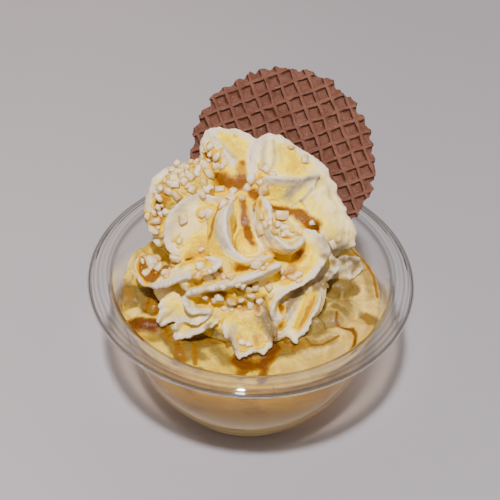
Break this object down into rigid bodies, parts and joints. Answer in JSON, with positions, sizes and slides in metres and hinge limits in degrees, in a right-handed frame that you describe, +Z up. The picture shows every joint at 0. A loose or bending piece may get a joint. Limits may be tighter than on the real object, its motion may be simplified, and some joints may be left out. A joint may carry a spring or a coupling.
{
  "type": "advocaat ice cream sundae in a clear bowl",
  "caption": "Ice cream in a round clear bowl with a pool of advocaat, piped whipped cream with chopped nuts and caramel sauce, and a round chocolate wafer that leans in the cream",
  "frame": {"origin": "centre of the bowl's foot, on the ground", "axes": "+Z up along the bowl's axis; -Y is the side the picture looks from, with the wafer behind"},
  "size_m": [0.1224, 0.1224, 0.1153],
  "materials": {
    "clear_plastic": "clear, glossy, thermoformed",
    "ice_cream": "soft satin, vanilla with advocaat",
    "advocaat": "wet, glossy yellow",
    "whipped_cream": "satin white, stained yellow and amber in the folds",
    "wafer": "matt, baked, with a sugar sparkle"
  },
  "bodies": {
    "root": {"bowl": "clear_plastic", "ice_cream": "ice_cream", "advocaat": "advocaat", "whipped_cream": "whipped_cream", "wafer": "wafer"}
  },
  "joints": []
}
